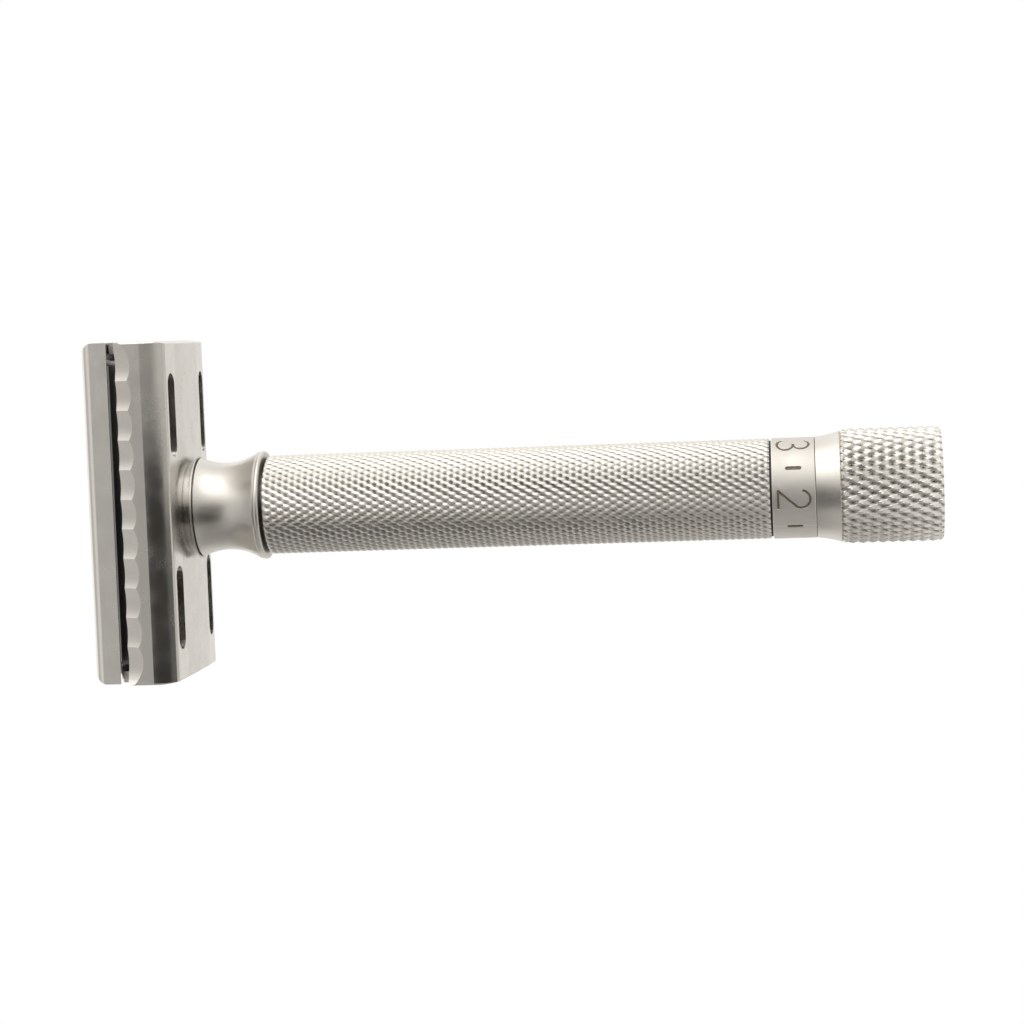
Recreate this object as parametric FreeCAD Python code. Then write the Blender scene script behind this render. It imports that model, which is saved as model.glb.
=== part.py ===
"""Adjustable double-edge safety razor, as an assembly of separate solids.

Row frame, in millimetres: +Z runs up the handle from the flat end of the knob (z = 0) to the cap, X runs
along the blade's cutting edges, and Y across the blade. The razor stands on the end of its knob.

How it works: the knob and the dial are fixed to a draw rod that runs up the handle and takes the cap's
threaded stud. A spring under the blade bed keeps bed, blade and cap pushed up against that thread, so one
turn of the knob moves them all by one thread pitch against the fixed guard, which sets the blade gap.
"""

import FreeCAD
import Part

import math
import os

from FreeCAD import Vector

OUT = "parts"

# ---------------------------------------------------------------- driving dimensions
# knob and dial
KNOB_R = 7.3
KNOB_TOP = 12.8
FLARE_R = 7.0
FLARE_MIDDLE_R = 6.62
FLARE_MIDDLE_Z = 14.3
DIAL_BOTTOM = 15.8
DIAL_TOP = 21.35
DIAL_R = 6.4
DIAL_CHAMFER = 0.12
SPIGOT_R = 5.0
KNOB_CHAMFER = 0.4
END_CAP_R = 5.2
END_CAP_RECESS = 0.25
END_CAP_THICK = 1.0
END_CAP_CHAMFER = 0.3
SCREW_HEAD_R = 2.75
SCREW_HEAD_H = 2.2
SCREW_HEAD_CHAMFER = 0.25
SCREW_HEAD_CLEARANCE = 0.2
SCREW_R = 1.5
SCREW_CLEAR_R = 1.6
HEX_ACROSS = 2.5
HEX_DEPTH = 1.4
SCREW_END_Z = 12.5
SCREW_HOLE_TOP = 13.0
KNOB_FLOOR_Z = 4.0
ROD_SEAT_Z = 6.0

# handle
THRUST_R = 6.1
THRUST_BORE_R = 2.6
GRIP_BOTTOM = 21.6
GRIP_TOP = 86.2
GRIP_R = 6.4
GRIP_CHAMFER = 0.15
DRILLED_R = 3.9
LOWER_BORE_R = 4.6
LOWER_BORE_TOP = 30.0
UPPER_BORE_R = 4.7
LEDGE_Z = 64.0
NECK_SPIGOT_R = 5.1
NECK_SPIGOT_BOTTOM = 79.6
NECK_BORE_BOTTOM = 79.0
BUSH_FLANGE_R = 5.6
BUSH_FLANGE_TOP = 23.0
BUSH_TOP = 28.9
BUSH_CHAMFER = 0.3
INDEX_ANGLE = 134.0
INDEX_Z = 23.3
INDEX_R = 0.55
INDEX_DEPTH = 0.4

# draw rod
ROD_R = 2.2
ROD_CLEARANCE = 0.05
ROD_FLAT = 1.7
SLEEVE_R = 3.4
SLEEVE_CONE_BOTTOM = 68.8
SLEEVE_BOTTOM = 70.0
SLEEVE_TOP = 100.0
STUD_BORE_R = 2.55
STUD_BORE_BOTTOM = 84.0
STUD_BORE_CHAMFER = 0.5
CLIP_Z = 29.0
CLIP_THICK = 0.55
CLIP_R = 3.6
CLIP_GROOVE_R = 1.7
CLIP_PLAY = 0.02
CLIP_MOUTH_SHARE = 0.85
CLIP_EAR_R = 0.75
CLIP_EAR_X = 1.35
CLIP_EAR_Y = -1.6
SEAL_Z = 25.0
SEAL_HEIGHT = 1.0
SEAL_GROOVE_R = 1.5
SEAL_PLAY = 0.05
SEAL_SQUEEZE_GAP = 0.01
SEAL_CORNER = 0.28

# neck
NECK_BOTTOM = 86.65
NECK_LIP_R = 7.0
NECK_LIP_TOP = 87.5
NECK_LIP_HEIGHT = 0.65
NECK_LIP_BULGE = 0.2
NECK_WAIST_R = 5.62
NECK_WAIST_Z = 91.8
NECK_CURVE_R = 7.8
NECK_SHOULDER = 95.55
NECK_RIM_R = 6.6
NECK_RIM_THICK = 0.2
NECK_GROOVE_R = 6.1
NECK_UNDERCUT_R = 5.3
TOP_SPIGOT_R = 5.3
TOP_SPIGOT_TOP = 100.2

# head
HEAD_HALF_LENGTH = 21.75
GUARD_HALF_WIDTH = 12.0
GUARD_TOP = 103.35
GUARD_BOTTOM = 99.9
GUARD_INNER = 10.2
GUARD_CORNER = 0.3
BELLY_Z = 96.5
BELLY_R = 173.0
BELLY_HALF_WIDTH = 11.0
BEVEL_BULGE = 0.2
BEVEL_CREASE_R = 0.5
BOSS_R = 5.9
BOSS_CHAMFER = 0.15
FLOOR_Z = 98.6
END_WALL_INNER = 20.3
END_WALL_HALF_WIDTH = 8.0
END_ARCH_Z = 106.4
END_ARCH_R = 20.0
END_CURVE_R = 14.5
SCALLOP_PITCH = 3.75
SCALLOP_COUNT = 11
SCALLOP_R = 7.0
SCALLOP_TILT = 30.0
SCALLOP_RUN = 2.2
SCALLOP_CUTTER = 12.0
SCALLOP_LEAD = 4.0
SLOT_Y = 8.6
SLOT_WIDTH = 3.0
SLOT_INNER = 6.9
SLOT_OUTER = 17.6
RING_NUT_R = 6.3
RING_NUT_SLOT = 0.7

# blade bed
BLADE_R = 20.0
BLADE_TOP = 107.24
BLADE_THICK = 0.1
CLAMP_GAP = 0.02
BED_HALF_WIDTH = 8.4
BED_HALF_LENGTH = 19.6
BED_BOTTOM = 102.4
BED_CORNER_R = 0.8
BED_GROOVE_R = 0.9
BED_GROOVE_LIFT = 0.35
STEM_R = 4.2
STEM_BORE_R = 3.5
STEM_TOP = 104.6
STEM_BOTTOM = 78.2
STEM_FLANGE_R = 4.6
STEM_FLANGE_TOP = 79.2
GUIDE_X = 15.5
GUIDE_R = 1.2
GUIDE_BOTTOM = 97.6
GUIDE_TOP = 104.2
GUIDE_HOLE_BOTTOM = 97.05
GUIDE_CHAMFER = 0.3
SLIDE_CLEARANCE = 0.05

# blade
BLADE_HALF_ARC = 11.0
EDGE_HALF_LENGTH = 18.85
TAB_HALF_LENGTH = 21.5
TAB_HALF_WIDTH = 6.5
BLADE_SLOT_HALF = 17.0
BLADE_SLOT_WIDTH = 2.4
BLADE_CENTRE_R = 2.9
BLADE_PIN_HOLE_R = 1.8

# cap
CAP_HALF_WIDTH = 9.85
CAP_CROWN = 109.5
CAP_CROWN_R = 26.0
CAP_EDGE_FILLET = 1.0
PIN_X = 11.0
PIN_R = 1.65
PIN_BOTTOM = 104.4
PIN_TOP = 108.1
PIN_HOLE_BOTTOM = 104.0
PIN_TIP_R = 0.5
PIN_CLEARANCE = 0.15
STUD_R = 2.5
STUD_BOTTOM = 88.5
STUD_TOP = 108.2
STUD_CHAMFER = 0.5
STUD_CLEARANCE = 0.2

# spring
SPRING_R = 4.05
SPRING_WIRE_R = 0.4
SPRING_SEAT_THICK = 0.8
SPRING_SEAT_R = 4.6
SPRING_SEAT_BORE_R = 3.7
SPRING_END_GAP = 0.01
SPRING_END_RISE = 0.848
SPRING_STEPS_PER_TURN = 16
SPRING_TURNS = 5.0
SPRING_END_TURNS = 1.25

Z_AXIS = Vector(0, 0, 1)
X_AXIS = Vector(1, 0, 0)
ORIGIN = Vector(0, 0, 0)
TINY = 1e-6
FIND = 0.05


# ---------------------------------------------------------------- helpers
def rod(radius, z0, z1, x=0.0, y=0.0):
    """Vertical cylinder from z0 to z1."""
    return Part.makeCylinder(radius, z1 - z0, Vector(x, y, z0))


def tube(outer, inner, z0, z1):
    """Vertical ring from z0 to z1."""
    return rod(outer, z0, z1).cut(rod(inner, z0, z1))


def block(half_x, half_y, z0, z1):
    """Box centred on the handle's axis."""
    return Part.makeBox(2 * half_x, 2 * half_y, z1 - z0, Vector(-half_x, -half_y, z0))


def turned(points):
    """Solid of revolution about Z from (radius, z) points."""
    corners = [Vector(r, 0, z) for r, z in points]
    outline = Part.makePolygon(corners + corners[:1])
    return Part.Face(outline).revolve(ORIGIN, Z_AXIS, 360)


def wire_of(*edges):
    return Part.Wire(Part.__sortEdges__(list(edges)))


def line(a, b):
    return Part.LineSegment(a, b).toShape()


def arc(a, middle, b):
    return Part.Arc(a, middle, b).toShape()


def across(y, z, x=-HEAD_HALF_LENGTH):
    """Point of a cross-section of the head."""
    return Vector(x, y, z)


def extruded(wire, length):
    """Cross-section of the head, drawn out along X."""
    return Part.Face(wire).extrude(Vector(length, 0, 0))


def drop(radius, y):
    """How far an arch of this radius has fallen at distance y from its crown."""
    return radius - math.sqrt(radius * radius - y * y)


def arched(half_length, half_width, crown, radius, bottom):
    """Block with a flat bottom and a cylindrical top."""
    edge_z = crown - drop(radius, half_width)
    low_left = across(-half_width, bottom, -half_length)
    low_right = across(half_width, bottom, -half_length)
    left = across(-half_width, edge_z, -half_length)
    right = across(half_width, edge_z, -half_length)
    top = across(0, crown, -half_length)
    base = line(low_left, low_right)
    outline = wire_of(base, line(low_right, right), arc(right, top, left), line(left, low_left))
    return extruded(outline, 2 * half_length)


def stadium(half_gap, radius, z0, z1, x=0.0, y=0.0):
    """Slot-shaped prism along X with round ends."""
    middle = Part.makeBox(2 * half_gap, 2 * radius, z1 - z0, Vector(x - half_gap, y - radius, z0))
    ends = [rod(radius, z0, z1, x + side * half_gap, y) for side in (-1, 1)]
    return middle.fuse(ends).removeSplitter()


def on_dial(angle, radius, z):
    """Point at an angle measured from -Y towards +X."""
    a = math.radians(angle)
    return Vector(radius * math.sin(a), -radius * math.cos(a), z)


def edges_where(shape, test):
    return [e for e in shape.Edges if test(e)]


def is_rim(edge):
    """True for a full circle lying level."""
    return len(edge.Vertexes) == 1 and edge.BoundBox.ZLength < TINY


def is_upright(edge):
    """True for a vertical corner."""
    return edge.BoundBox.XLength < TINY and edge.BoundBox.YLength < TINY and edge.BoundBox.ZLength > TINY


def is_along(edge):
    """True for an edge that runs along X."""
    return edge.BoundBox.XLength > 1 and edge.BoundBox.YLength < TINY + edge.BoundBox.XLength / 100


def is_along_at(edge, z):
    """True for a straight edge along X at a height."""
    return is_along(edge) and abs(edge.BoundBox.ZMin - z) < FIND and abs(edge.BoundBox.ZMax - z) < FIND


def lower_rims(shape, below):
    return edges_where(shape, lambda e: is_rim(e) and e.BoundBox.ZMax < below)


def single(shape):
    """The one solid in a boolean result."""
    solids = shape.Solids
    if len(solids) != 1:
        raise RuntimeError("expected one solid, found %d" % len(solids))
    return solids[0]


# ---------------------------------------------------------------- knob group
def make_knob():
    """Turned knob: knurled end, flared shoulder and the spigot that carries the dial."""
    flare_middle = Vector(FLARE_MIDDLE_R, 0, FLARE_MIDDLE_Z)
    flare = arc(Vector(FLARE_R, 0, KNOB_TOP), flare_middle, Vector(DIAL_R, 0, DIAL_BOTTOM))
    corners = [
        Vector(DIAL_R, 0, DIAL_BOTTOM),
        Vector(SPIGOT_R, 0, DIAL_BOTTOM),
        Vector(SPIGOT_R, 0, DIAL_TOP),
        Vector(0, 0, DIAL_TOP),
        Vector(0, 0, 0),
        Vector(KNOB_R - KNOB_CHAMFER, 0, 0),
        Vector(KNOB_R, 0, KNOB_CHAMFER),
        Vector(KNOB_R, 0, KNOB_TOP - KNOB_CHAMFER / 2),
        Vector(KNOB_R - KNOB_CHAMFER / 2, 0, KNOB_TOP),
        Vector(FLARE_R, 0, KNOB_TOP),
    ]
    sides = [line(a, b) for a, b in zip(corners, corners[1:])]
    body = Part.Face(wire_of(flare, *sides)).revolve(ORIGIN, Z_AXIS, 360)
    body = body.cut(rod(END_CAP_R, 0, END_CAP_RECESS + END_CAP_THICK))
    body = body.cut(rod(SCREW_HEAD_R + SCREW_HEAD_CLEARANCE, 0, KNOB_FLOOR_Z))
    body = body.cut(rod(SCREW_CLEAR_R, 0, ROD_SEAT_Z))
    return single(body.cut(rod_end(ROD_SEAT_Z, DIAL_TOP)))


def rod_end(z0, z1):
    """Round bar with one flat, the keyed end of the draw rod."""
    flat = Part.makeBox(2 * ROD_R, ROD_R, z1 - z0, Vector(-ROD_R, ROD_FLAT, z0))
    return rod(ROD_R, z0, z1).cut(flat)


def make_dial_ring():
    """Numbered ring, pressed on the knob's spigot."""
    ring = tube(DIAL_R, SPIGOT_R, DIAL_BOTTOM, DIAL_TOP)
    outer_rims = edges_where(ring, lambda e: is_rim(e) and abs(e.BoundBox.XMax - DIAL_R) < TINY)
    return single(ring.makeChamfer(DIAL_CHAMFER, outer_rims))


def make_knob_screw():
    """Socket screw that draws the rod's end into the knob."""
    head_z = KNOB_FLOOR_Z - SCREW_HEAD_H
    head = rod(SCREW_HEAD_R, head_z, KNOB_FLOOR_Z)
    head = head.makeChamfer(SCREW_HEAD_CHAMFER, lower_rims(head, KNOB_FLOOR_Z - TINY))
    corner_r = HEX_ACROSS / 2 / math.cos(math.pi / 6)
    turns = [math.pi / 3 * i for i in range(6)]
    hexagon = [Vector(corner_r * math.cos(a), corner_r * math.sin(a), head_z) for a in turns]
    socket = Part.Face(Part.makePolygon(hexagon + hexagon[:1])).extrude(Vector(0, 0, HEX_DEPTH))
    shank = rod(SCREW_R, KNOB_FLOOR_Z, SCREW_END_Z)
    return single(head.fuse(shank).cut(socket).removeSplitter())


def make_knob_end_cap():
    """Disc pressed into the knob's end over the screw, a little below the rim."""
    z0 = END_CAP_RECESS
    z1 = END_CAP_RECESS + END_CAP_THICK
    rim = [(END_CAP_R - END_CAP_CHAMFER, z0), (END_CAP_R, z0 + END_CAP_CHAMFER), (END_CAP_R, z1)]
    return single(turned([(0, z0)] + rim + [(0, z1)]))


def make_draw_rod():
    """Rod from the knob to the head; its upper sleeve is bored for the cap's stud."""
    cone_low = SLEEVE_CONE_BOTTOM
    shaft = rod(ROD_R, DIAL_TOP, cone_low)
    cone = Part.makeCone(ROD_R, SLEEVE_R, SLEEVE_BOTTOM - cone_low, Vector(0, 0, cone_low))
    body = rod_end(ROD_SEAT_Z, DIAL_TOP).fuse([shaft, cone, rod(SLEEVE_R, SLEEVE_BOTTOM, SLEEVE_TOP)])
    body = body.cut(rod(STUD_BORE_R, STUD_BORE_BOTTOM, SLEEVE_TOP))
    c = STUD_BORE_CHAMFER
    body = body.cut(Part.makeCone(STUD_BORE_R, STUD_BORE_R + c, c, Vector(0, 0, SLEEVE_TOP - c)))
    body = body.cut(rod(SCREW_R, ROD_SEAT_Z, SCREW_HOLE_TOP))
    body = body.cut(tube(ROD_R + 1, CLIP_GROOVE_R, CLIP_Z, CLIP_Z + CLIP_THICK + 2 * CLIP_PLAY))
    body = body.cut(tube(ROD_R + 1, SEAL_GROOVE_R, SEAL_Z, SEAL_Z + SEAL_HEIGHT + 2 * SEAL_PLAY))
    return single(body.removeSplitter())


def make_rod_clip():
    """E-clip that keeps the rod from dropping through its bush."""
    z0 = CLIP_Z + CLIP_PLAY
    clip = tube(CLIP_R, CLIP_GROOVE_R, z0, z0 + CLIP_THICK)
    half_mouth = CLIP_MOUTH_SHARE * CLIP_GROOVE_R
    clip = clip.cut(Part.makeBox(2 * half_mouth, CLIP_R, CLIP_THICK, Vector(-half_mouth, 0, z0)))
    for side in (-1, 1):
        clip = clip.cut(rod(CLIP_EAR_R, z0, z0 + CLIP_THICK, side * CLIP_EAR_X, CLIP_EAR_Y))
    return single(clip)


def make_rod_o_ring():
    """Rubber ring in the rod's groove: keeps water out and gives the knob its drag."""
    inner = SEAL_GROOVE_R + SEAL_SQUEEZE_GAP
    outer = ROD_R + ROD_CLEARANCE - SEAL_SQUEEZE_GAP
    z0 = SEAL_Z + SEAL_PLAY
    z1 = z0 + SEAL_HEIGHT
    c = SEAL_CORNER
    return single(turned([
        (inner, z0 + c), (inner + c, z0), (outer - c, z0), (outer, z0 + c),
        (outer, z1 - c), (outer - c, z1), (inner + c, z1), (inner, z1 - c),
    ]))


# ---------------------------------------------------------------- handle group
def make_thrust_washer():
    """Black nylon washer between the turning dial and the fixed grip."""
    return single(tube(THRUST_R, THRUST_BORE_R, DIAL_TOP, GRIP_BOTTOM))


def make_grip_tube():
    """Knurled handle tube, drilled through and bored from both ends."""
    body = rod(GRIP_R, GRIP_BOTTOM, GRIP_TOP)
    body = body.makeChamfer(GRIP_CHAMFER, edges_where(body, is_rim))
    body = body.cut(rod(DRILLED_R, GRIP_BOTTOM, GRIP_TOP))
    body = body.cut(rod(BUSH_FLANGE_R, GRIP_BOTTOM, BUSH_FLANGE_TOP))
    body = body.cut(rod(LOWER_BORE_R, GRIP_BOTTOM, LOWER_BORE_TOP))
    body = body.cut(rod(UPPER_BORE_R, LEDGE_Z, GRIP_TOP))
    body = body.cut(rod(NECK_SPIGOT_R, NECK_BORE_BOTTOM, GRIP_TOP))
    inward = on_dial(INDEX_ANGLE, -1, 0)
    dimple = Part.makeCylinder(INDEX_R, INDEX_DEPTH + 1, on_dial(INDEX_ANGLE, GRIP_R + 1, INDEX_Z), inward)
    return single(body.cut(dimple))


def make_end_bush():
    """Brass bush in the lower end of the grip, in which the draw rod turns."""
    bore = ROD_R + ROD_CLEARANCE
    return single(turned([
        (bore, GRIP_BOTTOM), (BUSH_FLANGE_R, GRIP_BOTTOM), (BUSH_FLANGE_R, BUSH_FLANGE_TOP),
        (LOWER_BORE_R, BUSH_FLANGE_TOP), (LOWER_BORE_R, BUSH_TOP - BUSH_CHAMFER),
        (LOWER_BORE_R - BUSH_CHAMFER, BUSH_TOP), (bore, BUSH_TOP),
    ]))


def neck_radius(z):
    """Radius of the neck's waisted curve at a height."""
    return NECK_WAIST_R + drop(NECK_CURVE_R, z - NECK_WAIST_Z)


def make_neck():
    """Waisted neck with a thin rim under the plate, screwed into the grip below and the ring nut above."""
    rim_low = NECK_SHOULDER - NECK_RIM_THICK
    groove_low = rim_low - NECK_RIM_THICK
    top_r = neck_radius(groove_low)
    low_r = neck_radius(NECK_LIP_TOP)
    bore = STEM_R + SLIDE_CLEARANCE
    waist = Vector(NECK_WAIST_R, 0, NECK_WAIST_Z)
    curve = arc(Vector(top_r, 0, groove_low), waist, Vector(low_r, 0, NECK_LIP_TOP))
    lip_low = Vector(NECK_LIP_R - NECK_LIP_BULGE, 0, NECK_BOTTOM)
    lip_high = lip_low + Vector(0, 0, NECK_LIP_HEIGHT)
    lip = arc(lip_high, Vector(NECK_LIP_R, 0, NECK_BOTTOM + NECK_LIP_HEIGHT / 2), lip_low)
    upper = [
        Vector(bore, 0, TOP_SPIGOT_TOP),
        Vector(TOP_SPIGOT_R, 0, TOP_SPIGOT_TOP),
        Vector(TOP_SPIGOT_R, 0, NECK_SHOULDER),
        Vector(NECK_RIM_R, 0, NECK_SHOULDER),
        Vector(NECK_RIM_R, 0, rim_low),
        Vector(NECK_GROOVE_R, 0, rim_low),
        Vector(NECK_GROOVE_R, 0, groove_low),
        Vector(top_r, 0, groove_low),
    ]
    lower = [
        lip_low,
        Vector(NECK_UNDERCUT_R, 0, NECK_BOTTOM),
        Vector(NECK_UNDERCUT_R, 0, GRIP_TOP),
        Vector(NECK_SPIGOT_R, 0, GRIP_TOP),
        Vector(NECK_SPIGOT_R, 0, NECK_SPIGOT_BOTTOM),
        Vector(bore, 0, NECK_SPIGOT_BOTTOM),
        Vector(bore, 0, TOP_SPIGOT_TOP),
    ]
    sides = [line(a, b) for a, b in zip(upper, upper[1:])]
    sides += [line(a, b) for a, b in zip(lower, lower[1:])]
    step = line(Vector(low_r, 0, NECK_LIP_TOP), lip_high)
    return single(Part.Face(wire_of(curve, step, lip, *sides)).revolve(ORIGIN, Z_AXIS, 360))


def guard_section():
    """Cross-section of the base plate: bellied and bevelled underside, a round-topped bar on each side."""
    w = GUARD_HALF_WIDTH
    bar_r = (w - GUARD_INNER) / 2
    shoulder = GUARD_TOP - bar_r
    crease = BELLY_Z + drop(BELLY_R, BELLY_HALF_WIDTH)
    bevel_angle = math.atan2(GUARD_BOTTOM - crease, w - BELLY_HALF_WIDTH)
    bulge_y = (w + BELLY_HALF_WIDTH) / 2 + BEVEL_BULGE * math.sin(bevel_angle)
    bulge_z = (GUARD_BOTTOM + crease) / 2 - BEVEL_BULGE * math.cos(bevel_angle)
    belly = arc(across(-BELLY_HALF_WIDTH, crease), across(0, BELLY_Z), across(BELLY_HALF_WIDTH, crease))
    sides = [belly, line(across(GUARD_INNER, FLOOR_Z), across(-GUARD_INNER, FLOOR_Z))]
    for s in (-1, 1):
        bevel_start = across(s * BELLY_HALF_WIDTH, crease)
        sides.append(arc(bevel_start, across(s * bulge_y, bulge_z), across(s * w, GUARD_BOTTOM)))
        sides.append(line(across(s * w, GUARD_BOTTOM), across(s * w, shoulder)))
        crest = across(s * (w - bar_r), GUARD_TOP)
        sides.append(arc(across(s * w, shoulder), crest, across(s * GUARD_INNER, shoulder)))
        sides.append(line(across(s * GUARD_INNER, shoulder), across(s * GUARD_INNER, FLOOR_Z)))
    return wire_of(*sides)


def end_profile():
    """Side view of the base plate's ends, which curve in below the guard bars, drawn through the plate."""
    low_x = HEAD_HALF_LENGTH - drop(END_CURVE_R, GUARD_BOTTOM - BELLY_Z)
    middle_z = (GUARD_BOTTOM + BELLY_Z) / 2
    middle_x = HEAD_HALF_LENGTH - drop(END_CURVE_R, GUARD_BOTTOM - middle_z)
    y = -GUARD_HALF_WIDTH

    def at(x, z):
        return Vector(x, y, z)

    sides = [line(at(-low_x, BELLY_Z), at(low_x, BELLY_Z))]
    sides.append(line(at(-HEAD_HALF_LENGTH, CAP_CROWN), at(HEAD_HALF_LENGTH, CAP_CROWN)))
    for s in (-1, 1):
        edge = s * HEAD_HALF_LENGTH
        sides.append(arc(at(s * low_x, BELLY_Z), at(s * middle_x, middle_z), at(edge, GUARD_BOTTOM)))
        sides.append(line(at(edge, GUARD_BOTTOM), at(edge, CAP_CROWN)))
    return Part.Face(wire_of(*sides)).extrude(Vector(0, 2 * GUARD_HALF_WIDTH, 0))


def scallop(x, side):
    """Tilted round cutter that scoops the upper outside of a guard bar and fades out down its face."""
    tilt = math.radians(SCALLOP_TILT)
    fade = Vector(x, side * GUARD_HALF_WIDTH, GUARD_TOP - SCALLOP_RUN)
    along = Vector(0, -side * math.sin(tilt), math.cos(tilt))
    outward = Vector(0, side * math.cos(tilt), math.sin(tilt))
    start = fade + outward * SCALLOP_R - along * SCALLOP_LEAD
    return Part.makeCylinder(SCALLOP_R, SCALLOP_CUTTER, start, along)


def make_base_plate():
    """Guard plate: scalloped bars, drain slots, the neck's boss and the well that the bed moves in."""
    plate = extruded(guard_section(), 2 * HEAD_HALF_LENGTH)
    crease_z = BELLY_Z + drop(BELLY_R, BELLY_HALF_WIDTH)
    plate = plate.makeFillet(BEVEL_CREASE_R, edges_where(plate, lambda e: is_along_at(e, crease_z)))
    outer_y = GUARD_HALF_WIDTH - TINY
    corners = edges_where(plate, lambda e: is_upright(e) and abs(e.CenterOfMass.y) > outer_y)
    plate = plate.makeFillet(GUARD_CORNER, corners)
    end_walls = arched(HEAD_HALF_LENGTH, END_WALL_HALF_WIDTH, END_ARCH_Z, END_ARCH_R, FLOOR_Z)
    end_walls = end_walls.cut(block(END_WALL_INNER, GUARD_HALF_WIDTH, FLOOR_Z, CAP_CROWN))
    plate = plate.fuse(end_walls).common(end_profile()).removeSplitter()
    first = -(SCALLOP_COUNT - 1) / 2 * SCALLOP_PITCH
    for i in range(SCALLOP_COUNT):
        for side in (-1, 1):
            plate = plate.cut(scallop(first + i * SCALLOP_PITCH, side))
    slot_r = SLOT_WIDTH / 2
    half_gap = (SLOT_OUTER - SLOT_INNER) / 2 - slot_r
    middle = (SLOT_OUTER + SLOT_INNER) / 2
    for sx in (-1, 1):
        for sy in (-1, 1):
            plate = plate.cut(stadium(half_gap, slot_r, BELLY_Z - 1, FLOOR_Z + 1, sx * middle, sy * SLOT_Y))
    boss = rod(BOSS_R, NECK_SHOULDER, FLOOR_Z)
    plate = plate.fuse(boss.makeChamfer(BOSS_CHAMFER, lower_rims(boss, BELLY_Z))).removeSplitter()
    plate = plate.cut(rod(TOP_SPIGOT_R, NECK_SHOULDER - 1, FLOOR_Z + 1))
    hole_r = GUIDE_R + SLIDE_CLEARANCE
    for sx in (-1, 1):
        plate = plate.cut(rod(hole_r, GUIDE_HOLE_BOTTOM, FLOOR_Z + 1, sx * GUIDE_X))
    return single(plate)


def make_base_ring_nut():
    """Slotted ring nut that clamps the base plate on the neck."""
    nut = tube(RING_NUT_R, TOP_SPIGOT_R, FLOOR_Z, TOP_SPIGOT_TOP)
    for angle in (0, 90):
        slot = block(RING_NUT_R + 1, RING_NUT_SLOT, TOP_SPIGOT_TOP - RING_NUT_SLOT, TOP_SPIGOT_TOP)
        slot.rotate(ORIGIN, Z_AXIS, angle + 45)
        nut = nut.cut(slot)
    return single(nut)


def make_spring_seat():
    """Washer on the ledge inside the grip that the spring stands on."""
    return single(tube(SPRING_SEAT_R, SPRING_SEAT_BORE_R, LEDGE_Z, LEDGE_Z + SPRING_SEAT_THICK))


def make_bed_spring():
    """Compression spring with closed ends, between its seat and the bed's stem."""
    wire = SPRING_WIRE_R
    z0 = LEDGE_Z + SPRING_SEAT_THICK + wire + SPRING_END_GAP
    z1 = STEM_BOTTOM - wire - SPRING_END_GAP
    end_rise = SPRING_END_TURNS * SPRING_END_RISE
    total = SPRING_TURNS + 2 * SPRING_END_TURNS
    count = int(total * SPRING_STEPS_PER_TURN)
    points = []
    for i in range(count + 1):
        turn = total * i / count
        if turn < SPRING_END_TURNS:
            z = z0 + end_rise * turn / SPRING_END_TURNS
        elif turn > total - SPRING_END_TURNS:
            z = z1 - end_rise * (total - turn) / SPRING_END_TURNS
        else:
            share = (turn - SPRING_END_TURNS) / SPRING_TURNS
            z = z0 + end_rise + (z1 - z0 - 2 * end_rise) * share
        a = 2 * math.pi * turn
        points.append(Vector(SPRING_R * math.cos(a), SPRING_R * math.sin(a), z))
    path = Part.BSplineCurve()
    path.interpolate(points)
    start = path.value(path.FirstParameter)
    direction = path.tangent(path.FirstParameter)[0]
    section = Part.Wire(Part.Circle(start, direction, wire).toShape())
    return single(Part.Wire(path.toShape()).makePipeShell([section], True, True))


# ---------------------------------------------------------------- blade bed group
def make_blade_bed():
    """Sprung bed: its arched top bends the blade against the cap."""
    under = BLADE_THICK + CLAMP_GAP
    bed = arched(BED_HALF_LENGTH, BED_HALF_WIDTH, BLADE_TOP - under, BLADE_R - under, BED_BOTTOM)
    bed = bed.makeFillet(BED_CORNER_R, edges_where(bed, is_upright))
    bed = bed.cut(rod(STEM_R, BED_BOTTOM - 1, STEM_TOP))
    bed = bed.cut(rod(STUD_R + STUD_CLEARANCE, BED_BOTTOM, BLADE_TOP + 1))
    for sx in (-1, 1):
        bed = bed.cut(rod(PIN_R + PIN_CLEARANCE, PIN_HOLE_BOTTOM, BLADE_TOP + 1, sx * PIN_X))
        bed = bed.cut(rod(GUIDE_R, BED_BOTTOM - 1, GUIDE_TOP, sx * GUIDE_X))
    start = Vector(-BED_HALF_LENGTH - 1, 0, BLADE_TOP + BED_GROOVE_LIFT)
    groove = Part.makeCylinder(BED_GROOVE_R, 2 * BED_HALF_LENGTH + 2, start, X_AXIS)
    return single(bed.cut(groove))


def make_bed_stem():
    """Tube under the bed that slides in the neck; the spring pushes on its foot flange, the upper stop."""
    body = tube(STEM_R, STEM_BORE_R, STEM_BOTTOM, STEM_TOP)
    return single(body.fuse(tube(STEM_FLANGE_R, STEM_BORE_R, STEM_BOTTOM, STEM_FLANGE_TOP)).removeSplitter())


def make_bed_guide_pins():
    """Two pins that stop the bed turning in the base plate."""
    pins = []
    for sx in (-1, 1):
        pin = rod(GUIDE_R, GUIDE_BOTTOM, GUIDE_TOP, sx * GUIDE_X)
        pins.append(pin.makeChamfer(GUIDE_CHAMFER, lower_rims(pin, GUIDE_TOP - TINY)))
    return Part.makeCompound(pins)


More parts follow.
